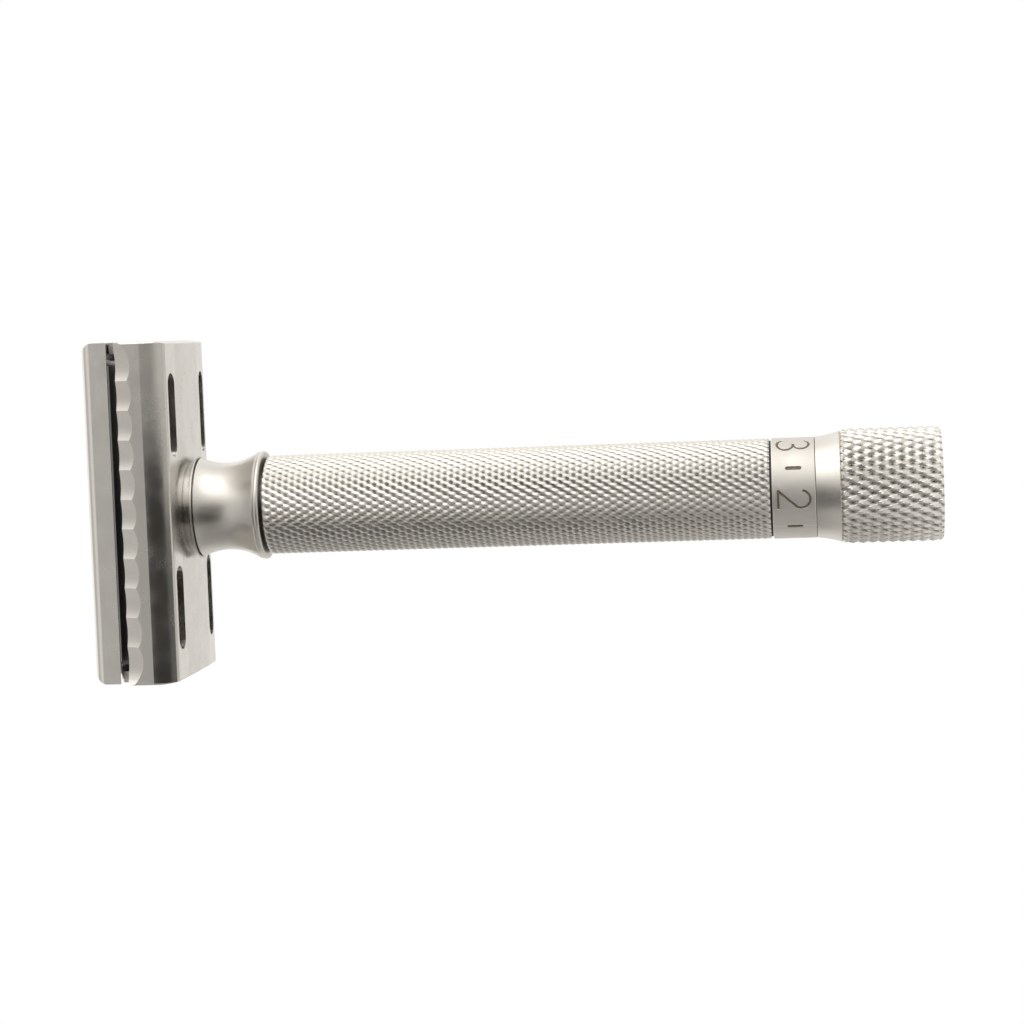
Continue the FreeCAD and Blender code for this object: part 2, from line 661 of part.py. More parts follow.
# ---------------------------------------------------------------- blade and cap group
def make_blade():
    """Standard double-edge blade, bent to the bed's arch."""
    outer = BLADE_R
    inner = BLADE_R - BLADE_THICK
    centre_z = BLADE_TOP - BLADE_R
    half = BLADE_HALF_ARC / outer

    def at(radius, angle, x):
        return Vector(x, radius * math.sin(angle), centre_z + radius * math.cos(angle))

    x0 = -TAB_HALF_LENGTH
    sheet = wire_of(
        arc(at(outer, -half, x0), at(outer, 0, x0), at(outer, half, x0)),
        line(at(outer, half, x0), at(inner, half, x0)),
        arc(at(inner, half, x0), at(inner, 0, x0), at(inner, -half, x0)),
        line(at(inner, -half, x0), at(outer, -half, x0)),
    )
    blade = extruded(sheet, 2 * TAB_HALF_LENGTH)
    z0 = BLADE_TOP - 5
    z1 = BLADE_TOP + 1
    body = block(EDGE_HALF_LENGTH, GUARD_HALF_WIDTH, z0, z1)
    tabs = block(TAB_HALF_LENGTH, TAB_HALF_WIDTH, z0, z1)
    blade = blade.common(body.fuse(tabs).removeSplitter())
    blade = blade.cut(stadium(BLADE_SLOT_HALF, BLADE_SLOT_WIDTH / 2, z0, z1))
    blade = blade.cut(rod(BLADE_CENTRE_R, z0, z1))
    for sx in (-1, 1):
        blade = blade.cut(rod(BLADE_PIN_HOLE_R, z0, z1, sx * PIN_X))
        blade = blade.cut(rod(BLADE_PIN_HOLE_R, z0, z1, sx * BLADE_SLOT_HALF))
    return single(blade)


def make_cap():
    """Top cap: round crown, straight rim, hollow underside that the blade is bent against."""
    half = CAP_HALF_WIDTH
    hollow_z = BLADE_TOP + CLAMP_GAP
    rim_z = hollow_z - drop(BLADE_R + CLAMP_GAP, half)
    crown_edge = CAP_CROWN - drop(CAP_CROWN_R, half)
    outline = wire_of(
        arc(across(-half, crown_edge), across(0, CAP_CROWN), across(half, crown_edge)),
        line(across(half, crown_edge), across(half, rim_z)),
        arc(across(half, rim_z), across(0, hollow_z), across(-half, rim_z)),
        line(across(-half, rim_z), across(-half, crown_edge)),
    )
    cap = extruded(outline, 2 * HEAD_HALF_LENGTH)
    ends = edges_where(cap, lambda e: e.BoundBox.XLength < TINY and e.BoundBox.ZMax > CAP_CROWN - 0.1)
    shoulders = edges_where(cap, lambda e: is_along_at(e, crown_edge))
    cap = cap.makeFillet(CAP_EDGE_FILLET, ends + shoulders)
    cap = cap.cut(rod(STUD_R, BLADE_TOP - 1, STUD_TOP))
    for sx in (-1, 1):
        cap = cap.cut(rod(PIN_R, BLADE_TOP - 1, PIN_TOP, sx * PIN_X))
    return single(cap)


def make_cap_stud():
    """Stud fixed in the cap; its thread takes the draw rod's sleeve."""
    stud = rod(STUD_R, STUD_BOTTOM, STUD_TOP)
    return single(stud.makeChamfer(STUD_CHAMFER, lower_rims(stud, STUD_TOP - TINY)))


def make_locating_pins():
    """Two pins under the cap that centre the blade."""
    pins = []
    for sx in (-1, 1):
        pin = rod(PIN_R, PIN_BOTTOM, PIN_TOP, sx * PIN_X)
        pins.append(pin.makeFillet(PIN_TIP_R, lower_rims(pin, PIN_TOP - TINY)))
    return Part.makeCompound(pins)


# ---------------------------------------------------------------- export
NODES = {
    "knob": make_knob,
    "dial_ring": make_dial_ring,
    "knob_screw": make_knob_screw,
    "knob_end_cap": make_knob_end_cap,
    "draw_rod": make_draw_rod,
    "rod_clip": make_rod_clip,
    "rod_o_ring": make_rod_o_ring,
    "thrust_washer": make_thrust_washer,
    "grip_tube": make_grip_tube,
    "end_bush": make_end_bush,
    "neck": make_neck,
    "base_plate": make_base_plate,
    "base_ring_nut": make_base_ring_nut,
    "spring_seat": make_spring_seat,
    "bed_spring": make_bed_spring,
    "blade_bed": make_blade_bed,
    "bed_stem": make_bed_stem,
    "bed_guide_pins": make_bed_guide_pins,
    "blade": make_blade,
    "cap": make_cap,
    "cap_stud": make_cap_stud,
    "locating_pins": make_locating_pins,
}

os.makedirs(OUT, exist_ok=True)
for name, make in NODES.items():
    shape = make()
    if not shape.isValid():
        raise RuntimeError(name + " is not a valid shape")
    shape.exportStep(os.path.join(OUT, name + ".step"))
    print(name, "%.1f mm3" % shape.Volume)
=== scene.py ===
"""Looks for the adjustable double-edge safety razor, in the CAD row's frame.

Metres throughout, unless a name ends in _MM. +Z runs up the handle from the knob's end to the cap, X runs
along the blade's edges and Y across the blade. Angles round the handle are measured from -Y towards +X.
"""

import math

import bpy
import numpy as np
from mathutils import Matrix, Vector


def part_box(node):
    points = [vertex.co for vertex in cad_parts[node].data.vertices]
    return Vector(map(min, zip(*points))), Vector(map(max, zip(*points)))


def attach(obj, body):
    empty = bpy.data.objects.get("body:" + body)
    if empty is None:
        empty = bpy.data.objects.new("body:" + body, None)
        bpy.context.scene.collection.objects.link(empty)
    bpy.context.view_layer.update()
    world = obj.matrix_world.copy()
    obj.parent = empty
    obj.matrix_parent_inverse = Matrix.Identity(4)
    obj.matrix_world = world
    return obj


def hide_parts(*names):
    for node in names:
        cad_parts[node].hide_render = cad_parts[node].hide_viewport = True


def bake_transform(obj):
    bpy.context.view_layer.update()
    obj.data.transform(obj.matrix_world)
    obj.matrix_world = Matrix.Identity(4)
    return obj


MM = 0.001
TURN = 2 * math.pi

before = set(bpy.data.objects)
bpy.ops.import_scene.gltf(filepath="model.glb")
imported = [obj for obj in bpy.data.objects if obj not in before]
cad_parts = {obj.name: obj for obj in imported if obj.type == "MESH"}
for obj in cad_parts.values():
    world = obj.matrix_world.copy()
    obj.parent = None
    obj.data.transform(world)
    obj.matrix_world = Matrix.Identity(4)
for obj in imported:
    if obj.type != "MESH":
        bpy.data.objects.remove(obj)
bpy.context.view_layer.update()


# ---------------------------------------------------------------- sizes
KNOB_LOW, KNOB_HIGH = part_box("knob")
DIAL_LOW, DIAL_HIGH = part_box("dial_ring")
GRIP_LOW, GRIP_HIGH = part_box("grip_tube")
STUD_LOW, STUD_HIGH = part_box("cap_stud")
SPRING_LOW, SPRING_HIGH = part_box("bed_spring")
BLADE_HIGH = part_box("blade")[1]

# outlines of the turned parts behind their outer faces: (radius, height) in millimetres
KNOB_BARREL_TOP_MM = 12.6
KNOB_SHOULDER_MM = (7.1, 12.8)
FLARE_LOW_MM = (7.0, 12.8)
FLARE_MIDDLE_MM = (6.62, 14.3)
SPIGOT_R_MM = 5.0
KNOB_BORES_MM = [
    (2.2, 6.0), (1.6, 6.0), (1.6, 4.0), (2.95, 4.0), (2.95, 1.25), (5.2, 1.25), (5.2, 0.0),
]
ROD_HOLE_R_MM = 2.2
NECK_BORE_R_MM = 5.1
GRIP_BORES_MM = [
    (5.1, 79.0), (4.7, 79.0), (4.7, 64.0), (3.9, 64.0), (3.9, 30.0), (4.6, 30.0), (4.6, 23.0), (5.6, 23.0),
]
BUSH_SEAT_R_MM = 5.6

KNOB_CHAMFER = 0.4 * MM
KNOB_STARTS = 36
KNOB_LEAD = 2.5 * MM
KNOB_DEPTH = 0.50 * MM
GRIP_CHAMFER = 0.15 * MM
GRIP_STARTS = 42
GRIP_LEAD = 1.64 * MM
GRIP_DEPTH = 0.26 * MM
KNURL_LAND = 0.08
KNURL_STEPS = 8
FLARE_STEPS = 14
KNOB_MAIN_SHARE = 0.60
GRIP_MAIN_SHARE = 0.68

# creases sharper than this are drawn as edges
KNURL_SHARP_DEGREES = 28
DIAL_SHARP_DEGREES = 50
STUD_SHARP_DEGREES = 35
SPRING_SHARP_DEGREES = 60

DIAL_CHAMFER = 0.12 * MM
DIAL_SEGMENTS = 900
DIAL_ROWS = 112
DIGIT_HEIGHT = 4.0 * MM
DIGIT_WIDTH = 2.25 * MM
DIGIT_STROKE = 0.29 * MM
TICK_LENGTH = 1.6 * MM
TICK_STROKE = 0.42 * MM
ENGRAVE_DEPTH = 0.14 * MM
ENGRAVE_EDGE = 0.05 * MM
INDEX_ANGLE = 134
INDEX_Z = 23.3 * MM
INDEX_R = 0.55 * MM
INDEX_DEPTH = 0.4 * MM
SETTING_AT_INDEX = 4
DIAL_NUMBERS = 5

THREAD_PITCH = 0.8 * MM
THREAD_DEPTH = 0.43 * MM
THREAD_LENGTH = 14 * MM
THREAD_ROWS_PER_TURN = 16
THREAD_COLUMNS = 72
THREAD_ROOT = 1.25
THREAD_FLANK = 2.6
STUD_CHAMFER = 0.5 * MM
STUD_AXIS_R = 0.0001 * MM
SPRING_WIRE = 0.4 * MM
SPRING_TURNS = 5.0
SPRING_END_TURNS = 1.25
SPRING_END_RISE = 0.848 * MM
SPRING_STATIONS_PER_TURN = 40
SPRING_SIDES = 12

# camera: where it stands, what it looks at and which way is up in its picture
CAMERA_AT = Vector((20.7, -356.0, 16.1)) * MM
CAMERA_AIM = Vector((-1.95, 0.0, 54.8)) * MM
CAMERA_UP = Vector((0.972, 0.233, -0.013))
CAMERA_LENS = 98.0
CAMERA_SENSOR_MM = 36.0
CAMERA_CLIP = (0.01, 5.0)

# colours, as linear red, green and blue
NICKEL_DULL = (0.66, 0.635, 0.59)
NICKEL_BRIGHT = (0.73, 0.71, 0.675)
# sharp edges: rubbed wear together with a painted highlight
NICKEL_RUBBED_HIGHLIGHT = (0.86, 0.84, 0.80)
# painted shade in crevices and recesses
CREVICE_SHADE = (0.045, 0.038, 0.030)
# grime together with painted shade in the knurl's pits
GRIME_AND_PIT_SHADE = (0.085, 0.066, 0.046)
# fill of engraved marks: painted shade in the dial's numbers and ticks, paint in the grip's index dot
FILL_PAINT_AND_SHADE_DARK = (0.22, 0.185, 0.145)
FILL_PAINT_AND_SHADE_LIGHT = (0.33, 0.285, 0.23)
BRIGHT_STEEL = (0.60, 0.60, 0.60)
WIRE_STEEL = (0.45, 0.45, 0.46)
# blade bed darkened as painted shade for the inside of the head
BED_SHADE_STEEL = (0.22, 0.22, 0.22)
BRASS = (0.78, 0.58, 0.28)
BLACK_NYLON = (0.016, 0.016, 0.017)
BLACK_RUBBER = (0.012, 0.012, 0.012)
# blade strip darkened as painted shade
BLADE_SHADE_DARK = (0.030, 0.031, 0.034)
BLADE_SHADE_LIGHT = (0.048, 0.050, 0.054)
GROUND_EDGE = (0.10, 0.102, 0.107)
PAPER_DARK = (0.66, 0.66, 0.655)
PAPER_LIGHT = (0.70, 0.70, 0.695)

# roughness of each finish
HEAD_ROUGH = 0.21
TURNED_ROUGH = 0.34
KNURL_ROUGH = 0.30
DIAL_ROUGH = 0.46
STEEL_ROUGH = 0.26
WIRE_ROUGH = 0.30
BRASS_ROUGH = 0.28
BED_ROUGH = 0.42
NYLON_ROUGH = 0.55
RUBBER_ROUGH = 0.70
BLADE_ROUGH = (0.20, 0.34)
GROUND_SMOOTHER = 0.08

# noise: cells per metre for each kind of wear or grain, and the middle of its values
CLOUD = 90
SMEAR = 320
GRAIN = 9000
FINISH_LINES = 1500
PIT_PATCHES = 500
FILL_SPECKLE = 5000
RINGS = 700
STEEL_SMEAR = 260
STRIP_GRAIN = 900
STAIN = 180
MOULDING = 4000
MOULDING_CLOUD = 300
PAPER_FIBRE = 900
FELT_WEAVE = 800
NOISE_MIDDLE = (0.3, 0.7)

# heights of the finest relief
PLATE_RELIEF = 0.006 * MM
RING_RELIEF = 0.01 * MM
STRIP_RELIEF = 0.004 * MM
MOULDING_RELIEF = 0.01 * MM
FELT_RELIEF = 0.1 * MM

# how sharply curved an edge is when its lightening, rubbed wear together with a painted highlight, starts and
# when it has its full share
RUBBED_EDGE_HIGHLIGHT = (0.52, 0.60)
RUBBED_HIGHLIGHT_SHARE = 0.5

# painted shade darkening recesses: (reach, share), how open they are when it starts and ends, and the heights
# above the floor between which it sets in
HEAD_RECESS_SHADE = (3.0 * MM, 0.65)
PLAIN_RECESS_SHADE = (1.2 * MM, 0.9)
CREVICE_SHADE_OPEN = (0.15, 0.62)
RECESS_SHADE_FROM = 0.4 * MM
RECESS_SHADE_FULL = 1.6 * MM

# the blade's ground bevel: how far in from the edge it starts and is full
EDGE_BEVEL = 1.0 * MM
EDGE_BEVEL_FULL = 0.9 * MM

# engraved and punched marks: share of the mark's depth at which its fill starts and is full. The fill is
# painted shade in the dial's engraved numbers and ticks, paint in the grip's index dot, and grime together
# with painted shade in the knurl's pits
FILL_PAINT_AND_SHADE_EDGE = (0.35, 0.75)
PIT_EDGE = (0.5, 0.95)

# stretch of the finishing lines: small along the line
ALONG_X = (0.06, 1.0, 1.0)
ROUND_Z = (0.05, 0.05, 1.0)
TURNING_RINGS = (0.05, 0.05, 8.0)
STRIP_LINES = (0.04, 6.0, 1.0)

# floor: its size, the glow the metal sees under the knob and the glow the camera sees
FLOOR_RADIUS = 0.30
FLOOR_SIDES = 128
FLOOR_GAP = 0.02 * MM
FLOOR_GLOW = 0.35
FLOOR_GLOW_COLOUR = (1.0, 1.0, 0.995)
KNOB_GLOW = 0.5
KNOB_GLOW_FROM = 6 * MM
KNOB_GLOW_TO = 30 * MM
FLOOR_FADE = (0.35, 0.98)
EDGE_ON_FADE = (0.84, 0.94)

# room seen by the metal: its least brightness, and for each direction where its ramp starts and ends and
# the brightness it starts and ends with
ROOM_BASE = 0.32
ROOM_BEHIND = (0.0, 0.8, 0.0, 0.55)
ROOM_KEY_SIDE = (0.05, 0.65, 0.0, 1.15)
ROOM_KEY_FADE = (-0.1, 0.6, 1.0, 0.25)
ROOM_ABOVE = (0.0, 0.5, 0.0, 0.25)
ROOM_COLOUR = (1.0, 0.975, 0.94)

# lights and cards: place, size in metres, power in watts, and the cards' (low, high) extents
LIGHTS_AIM = (0, 0, 0.06)
KEY_PLACE = (0.42, -0.20, 0.10)
KEY_SIZE = 0.36
KEY_POWER = 0.32
KEY_COLOUR = (1.0, 0.99, 0.97)
FILL_PLACE = (-0.05, -0.30, 0.36)
FILL_SIZE = 0.30
FILL_POWER = 0.06
CARD_Y = -60 * MM
CARD_ROUGH = 0.9
GREY_CARD_X = (-60 * MM, -2 * MM)
GREY_CARD_Z = (3 * MM, 62 * MM)
GREY_CARD_SHADE = 0.17
DARK_CARD_X = (-45 * MM, 8 * MM)
DARK_CARD_Z = (62 * MM, 105 * MM)
DARK_CARD_SHADE = 0.02


# ---------------------------------------------------------------- mesh helpers
def mesh_object(name, points, faces, sharp_degrees=40, attributes=None):
    """Smooth-shaded mesh object with optional per-point number attributes."""
    mesh = bpy.data.meshes.new(name)
    mesh.from_pydata([tuple(p) for p in points], [], faces)
    mesh.update()
    for key, values in (attributes or {}).items():
        layer = mesh.attributes.new(key, "FLOAT", "POINT")
        layer.data.foreach_set("value", np.asarray(values, np.float32))
    mesh.shade_smooth()
    mesh.set_sharp_from_angle(angle=math.radians(sharp_degrees))
    piece = bpy.data.objects.new(name, mesh)
    bpy.context.scene.collection.objects.link(piece)
    return piece


def stand_for(piece, node, body, material):
    """The piece takes the place of a CAD node and moves with its body."""
    piece.data.materials.append(material)
    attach(piece, body)
    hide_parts(node)
    return piece


def grid_faces(radius):
    """Triangles over a grid that closes on itself both ways, split along the grooves and ridges in it."""
    corner = np.arange(radius.size).reshape(radius.shape)
    beside = np.roll(corner, -1, axis=1)
    above = np.roll(corner, -1, axis=0)
    opposite = np.roll(above, -1, axis=1)
    flat = radius.ravel()
    rising = np.abs(flat[corner] - flat[opposite]) <= np.abs(flat[beside] - flat[above])
    lower = np.stack([corner, beside, np.where(rising, opposite, above)], axis=-1)
    upper = np.stack([np.where(rising, corner, beside), opposite, above], axis=-1)
    return np.concatenate([lower.reshape(-1, 3), upper.reshape(-1, 3)]).tolist()


def turned_grid(rows, columns):
    """Radius, height and angle grids for a ring whose outline is the closed list of (radius, z) rows."""
    outline = np.array(rows)
    angle = np.arange(columns) / columns * TURN
    radius = np.repeat(outline[:, :1], columns, axis=1)
    height = np.repeat(outline[:, 1:], columns, axis=1)
    return radius, height, np.repeat(angle[None, :], len(rows), axis=0)


def turned_object(name, radius, height, angle, sharp_degrees, attributes):
    """Ring built from the grids; angle 0 lies on -Y and grows towards +X."""
    points = np.stack([radius * np.sin(angle), -radius * np.cos(angle), height], axis=-1)
    faces = grid_faces(radius)
    flat = {key: grid.ravel() for key, grid in attributes.items()}
    return mesh_object(name, points.reshape(-1, 3), faces, sharp_degrees, flat)


def span(start, end, count):
    """Evenly spaced heights from start up to, but not including, end."""
    return [start + (end - start) * i / count for i in range(count)]


def arc_rows(start, middle, end, count):
    """(radius, z) rows along a smooth curve through three (radius, z) points, without its last point."""
    rows = []
    for i in range(count):
        t = i / count
        a = (1 - t) * (1 - 2 * t)
        b = 4 * t * (1 - t)
        c = t * (2 * t - 1)
        rows.append((a * start[0] + b * middle[0] + c * end[0], a * start[1] + b * middle[1] + c * end[1]))
    return rows


def scaled(rows):
    """Rows given in millimetres, as metres."""
    return [(r * MM, z * MM) for r, z in rows]


# ---------------------------------------------------------------- knurling
def groove(phase):
    """1 along the floor of a V groove, falling to 0 on the land between two grooves."""
    to_floor = 1 - 2 * np.abs(phase - np.round(phase))
    return np.clip((to_floor - KNURL_LAND) / (1 - KNURL_LAND), 0, 1)


def diamond_knurl(angle, starts, main_share):
    """Depth share of two crossed families of grooves, deepest where they cross."""
    round_phase = starts * angle / TURN
    rise = np.arange(len(angle))[:, None] / KNURL_STEPS
    return main_share * groove(round_phase - rise) + (1 - main_share) * groove(round_phase + rise)


def knurl_band(low, high, radius, chamfer, lead):
    """Rows up a knurled cylinder, so close that every groove's floor and ridge falls on mesh points."""
    count = round((high - low) / (lead / KNURL_STEPS))
    rows = [(radius, z) for z in span(low, high, count)]
    rows.append((radius, high))
    edge = np.array([min(z - low, high - z) for _, z in rows])
    limit = np.minimum(radius, radius - chamfer + edge)
    return rows, limit[:, None]


# ---------------------------------------------------------------- dial marks
def arc_points(centre, size, start, end, count=14):
    """Points along an ellipse, in degrees from the digit's right-hand side."""
    turns = [math.radians(start + (end - start) * i / count) for i in range(count + 1)]
    return [(centre[0] + size[0] * math.cos(a), centre[1] + size[1] * math.sin(a)) for a in turns]


def digit_strokes():
    """Strokes of the digits 1 to 5, in a box one unit wide and one unit high."""
    two_bowl = arc_points((0.5, 0.72), (0.5, 0.28), 165, -25)
    three_top = arc_points((0.47, 0.75), (0.45, 0.25), 150, -90)
    three_low = arc_points((0.47, 0.26), (0.53, 0.26), 90, -155)
    five_bowl = arc_points((0.44, 0.32), (0.56, 0.32), 125, -155)
    return {
        1: [[(0.25, 0.80), (0.55, 1.0), (0.55, 0.0)]],
        2: [two_bowl + [(0.0, 0.0), (1.0, 0.0)]],
        3: [three_top, three_low],
        4: [[(0.72, 0.0), (0.72, 1.0), (0.0, 0.32), (1.0, 0.32)]],
        5: [[(0.92, 1.0), (0.16, 1.0), (0.10, 0.56)] + five_bowl[1:]],
    }


def digit_points(stroke):
    """A stroke's points in metres, from the middle of its digit."""
    return [((x - 0.5) * DIGIT_WIDTH, (y - 0.5) * DIGIT_HEIGHT) for x, y in stroke]


def distance_to_stroke(u, v, stroke):
    """Distance from every (u, v) to a chain of straight pieces."""
    best = np.full(u.shape, np.inf)
    for (x0, y0), (x1, y1) in zip(stroke, stroke[1:]):
        dx = x1 - x0
        dy = y1 - y0
        t = np.clip(((u - x0) * dx + (v - y0) * dy) / (dx * dx + dy * dy), 0, 1)
        best = np.minimum(best, np.hypot(u - x0 - t * dx, v - y0 - t * dy))
    return best


def number_angle(number):
    """Angle round the dial of a number, with the setting at the grip's index dot."""
    return math.radians(INDEX_ANGLE) + (number - SETTING_AT_INDEX) * TURN / DIAL_NUMBERS


def dial_marks(angle, height, radius):
    """1 inside the engraved numbers and ticks, 0 outside, with a short slope between."""
    middle = (DIAL_LOW.z + DIAL_HIGH.z) / 2
    marks = np.zeros(angle.shape)
    for number, strokes in digit_strokes().items():
        for shift in (0, 0.5):
            centre = number_angle(number) + shift * TURN / DIAL_NUMBERS
            across = -((angle - centre + math.pi) % TURN - math.pi) * radius
            up = -(height - middle)
            if shift:
                chains = [[(0, -TICK_LENGTH / 2), (0, TICK_LENGTH / 2)]]
                stroke_width = TICK_STROKE
            else:
                chains = [digit_points(stroke) for stroke in strokes]
                stroke_width = DIGIT_STROKE
            for chain in chains:
                gap = distance_to_stroke(across, up, chain) - stroke_width / 2
                marks = np.maximum(marks, np.clip(0.5 - gap / ENGRAVE_EDGE, 0, 1))
    return marks


# ---------------------------------------------------------------- pieces built here
def build_knob():
    """Knob: knurled barrel, smooth flare, spigot and the bores inside."""
    radius = KNOB_HIGH.x
    dial_low = DIAL_LOW.z / MM
    dial_high = DIAL_HIGH.z / MM
    flare_high = (DIAL_HIGH.x / MM, dial_low)
    band, limit = knurl_band(KNOB_LOW.z, KNOB_BARREL_TOP_MM * MM, radius, KNOB_CHAMFER, KNOB_LEAD)
    flare = arc_rows(FLARE_LOW_MM, FLARE_MIDDLE_MM, flare_high, FLARE_STEPS)
    spigot = [flare_high, (SPIGOT_R_MM, dial_low), (SPIGOT_R_MM, dial_high), (ROD_HOLE_R_MM, dial_high)]
    smooth = scaled([KNOB_SHOULDER_MM] + flare + spigot + KNOB_BORES_MM)
    r, z, a = turned_grid(band + smooth, KNOB_STARTS * KNURL_STEPS)
    count = len(band)
    pits = np.zeros(r.shape)
    pits[:count] = diamond_knurl(a[:count], KNOB_STARTS, KNOB_MAIN_SHARE)
    r[:count] = np.minimum(radius - KNOB_DEPTH * pits[:count], limit)
    return turned_object("knob_knurled", r, z, a, KNURL_SHARP_DEGREES, {"pits": pits})


def build_grip():
    """Handle tube: knurled outside with the index dot, and its stepped bore."""
    radius = GRIP_HIGH.x
    band, limit = knurl_band(GRIP_LOW.z, GRIP_HIGH.z, radius, GRIP_CHAMFER, GRIP_LEAD)
    top_edge = (NECK_BORE_R_MM, GRIP_HIGH.z / MM)
    low_edge = (BUSH_SEAT_R_MM, GRIP_LOW.z / MM)
    inner = scaled([top_edge] + GRIP_BORES_MM + [low_edge])
    r, z, a = turned_grid(band + inner, GRIP_STARTS * KNURL_STEPS)
    count = len(band)
    pits = np.zeros(r.shape)
    pits[:count] = diamond_knurl(a[:count], GRIP_STARTS, GRIP_MAIN_SHARE)
    outside = np.minimum(radius - GRIP_DEPTH * pits[:count], limit)
    round_gap = (a[:count] - math.radians(INDEX_ANGLE)) * radius
    in_dot = np.clip(0.5 - (np.hypot(round_gap, z[:count] - INDEX_Z) - INDEX_R) / ENGRAVE_EDGE, 0, 1)
    r[:count] = np.minimum(outside, radius - INDEX_DEPTH * in_dot)
    paint_and_shade_fill = np.zeros(r.shape)
    paint_and_shade_fill[:count] = in_dot
    return turned_object("grip_knurled", r, z, a, KNURL_SHARP_DEGREES, {"pits": pits, "paint_and_shade_fill": paint_and_shade_fill})


def build_dial():
    """Dial ring with engraved numbers and ticks."""
    radius = DIAL_HIGH.x
    low = DIAL_LOW.z
    high = DIAL_HIGH.z
    c = DIAL_CHAMFER
    face = [(radius, z) for z in span(low + c, high - c, DIAL_ROWS)] + [(radius, high - c)]
    bore = SPIGOT_R_MM * MM
    rest = [(radius - c, high), (bore, high), (bore, low), (radius - c, low)]
    r, z, a = turned_grid(face + rest, DIAL_SEGMENTS)
    marks = np.zeros(r.shape)
    count = len(face)
    marks[:count] = dial_marks(a[:count], z[:count], radius)
    r -= ENGRAVE_DEPTH * marks
    # the engraved marks' fill is painted shade
    return turned_object("dial_numbered", r, z, a, DIAL_SHARP_DEGREES, {"paint_and_shade_fill": marks})


def build_stud():
    """Cap stud with a right-hand thread over its lower part and a chamfered tip."""
    radius = STUD_HIGH.x
    low = STUD_LOW.z
    thread_top = low + THREAD_LENGTH
    count = round(THREAD_LENGTH / THREAD_PITCH * THREAD_ROWS_PER_TURN)
    thread = [(radius, z) for z in span(low, thread_top, count)]
    tip = STUD_AXIS_R
    rows = [(tip, low)] + thread + [(radius, thread_top), (radius, STUD_HIGH.z), (tip, STUD_HIGH.z)]
    r, z, a = turned_grid(rows, THREAD_COLUMNS)
    body = slice(1, 1 + len(thread))
    phase = z[body] / THREAD_PITCH - a[body] / TURN
    cut = np.clip(THREAD_ROOT - THREAD_FLANK * np.abs(phase - np.round(phase)), 0, 1)
    fade = np.clip((thread_top - z[body]) / THREAD_PITCH, 0, 1)
    chamfered = np.minimum(radius, radius - STUD_CHAMFER + (z[body] - low))
    r[body] = np.minimum(radius - THREAD_DEPTH * cut * fade, chamfered)
    return turned_object("stud_threaded", r, z, a, STUD_SHARP_DEGREES, {})


def build_spring():
    """Return spring with closed ends, as a swept round wire."""
    coil = SPRING_HIGH.x - SPRING_WIRE
    low = SPRING_LOW.z + SPRING_WIRE
    high = SPRING_HIGH.z - SPRING_WIRE
    end_rise = SPRING_END_TURNS * SPRING_END_RISE
    total = SPRING_TURNS + 2 * SPRING_END_TURNS
    stations = int(total * SPRING_STATIONS_PER_TURN)
    sides = SPRING_SIDES
    points = []
    for i in range(stations + 1):
        turn = total * i / stations
        if turn < SPRING_END_TURNS:
            z = low + end_rise * turn / SPRING_END_TURNS
        elif turn > total - SPRING_END_TURNS:
            z = high - end_rise * (total - turn) / SPRING_END_TURNS
        else:
            share = (turn - SPRING_END_TURNS) / SPRING_TURNS
            z = low + end_rise + (high - low - 2 * end_rise) * share
        a = TURN * turn
        for k in range(sides):
            b = TURN * k / sides
            reach = coil + SPRING_WIRE * math.cos(b)
            points.append((reach * math.cos(a), reach * math.sin(a), z + SPRING_WIRE * math.sin(b)))
    faces = []
    for i in range(stations):
        for k in range(sides):
            n = (k + 1) % sides
            faces.append((i * sides + k, i * sides + n, (i + 1) * sides + n, (i + 1) * sides + k))
    faces.append(tuple(range(sides)))
    faces.append(tuple(stations * sides + k for k in reversed(range(sides))))
    return mesh_object("spring_coil", points, faces, SPRING_SHARP_DEGREES)


